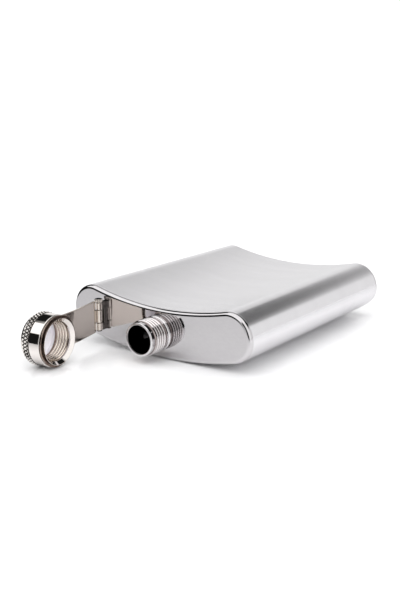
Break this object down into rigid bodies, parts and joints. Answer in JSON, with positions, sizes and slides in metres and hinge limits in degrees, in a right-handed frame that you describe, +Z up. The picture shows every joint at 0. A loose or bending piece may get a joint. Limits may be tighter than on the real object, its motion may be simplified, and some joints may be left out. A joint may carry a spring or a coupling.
{
  "type": "hip flask",
  "caption": "Flat pocket flask with a body curved to the hip, a threaded neck and a captive screw cap on a hinged arm, shown lying open.",
  "frame": {"origin": "on the surface the flask lies on, under the middle of the plan of the whole object with its cap swung open", "axes": "+X across the flask's width, +Y along its length from the neck end to the base, +Z up out of the concave face"},
  "size_m": [0.095, 0.156, 0.0266],
  "materials": {
    "satin_steel": "satin, finely brushed along the width",
    "polished_plate": "mirror polished",
    "polished_fittings": "bright polished",
    "polished_cap": "bright polished with a knurled grip",
    "white_seal": "soft matte"
  },
  "bodies": {
    "flask": {"body_sheet": "satin_steel", "shoulder_plate": "polished_plate", "base_plate": "polished_plate", "neck": "polished_fittings", "hinge_bracket": "polished_fittings", "hinge_pin": "polished_fittings"},
    "arm": {"cap_arm": "polished_fittings"},
    "cap": {"cap_shell": "polished_cap", "cap_thread_liner": "polished_cap", "cap_gasket": "white_seal"}
  },
  "joints": [
    {"name": "arm_swing", "type": "hinge", "parent": "flask", "child": "arm", "pos_m": [-0.0296, -0.03652, 0.01435], "axis": [0, 0, 1], "range_deg": [-94, 84]},
    {"name": "cap_spin", "type": "hinge", "parent": "arm", "child": "cap", "pos_m": [-0.02392, -0.06568, 0.0113], "axis": [0.9945, 0.1045, 0], "continuous": true}
  ]
}
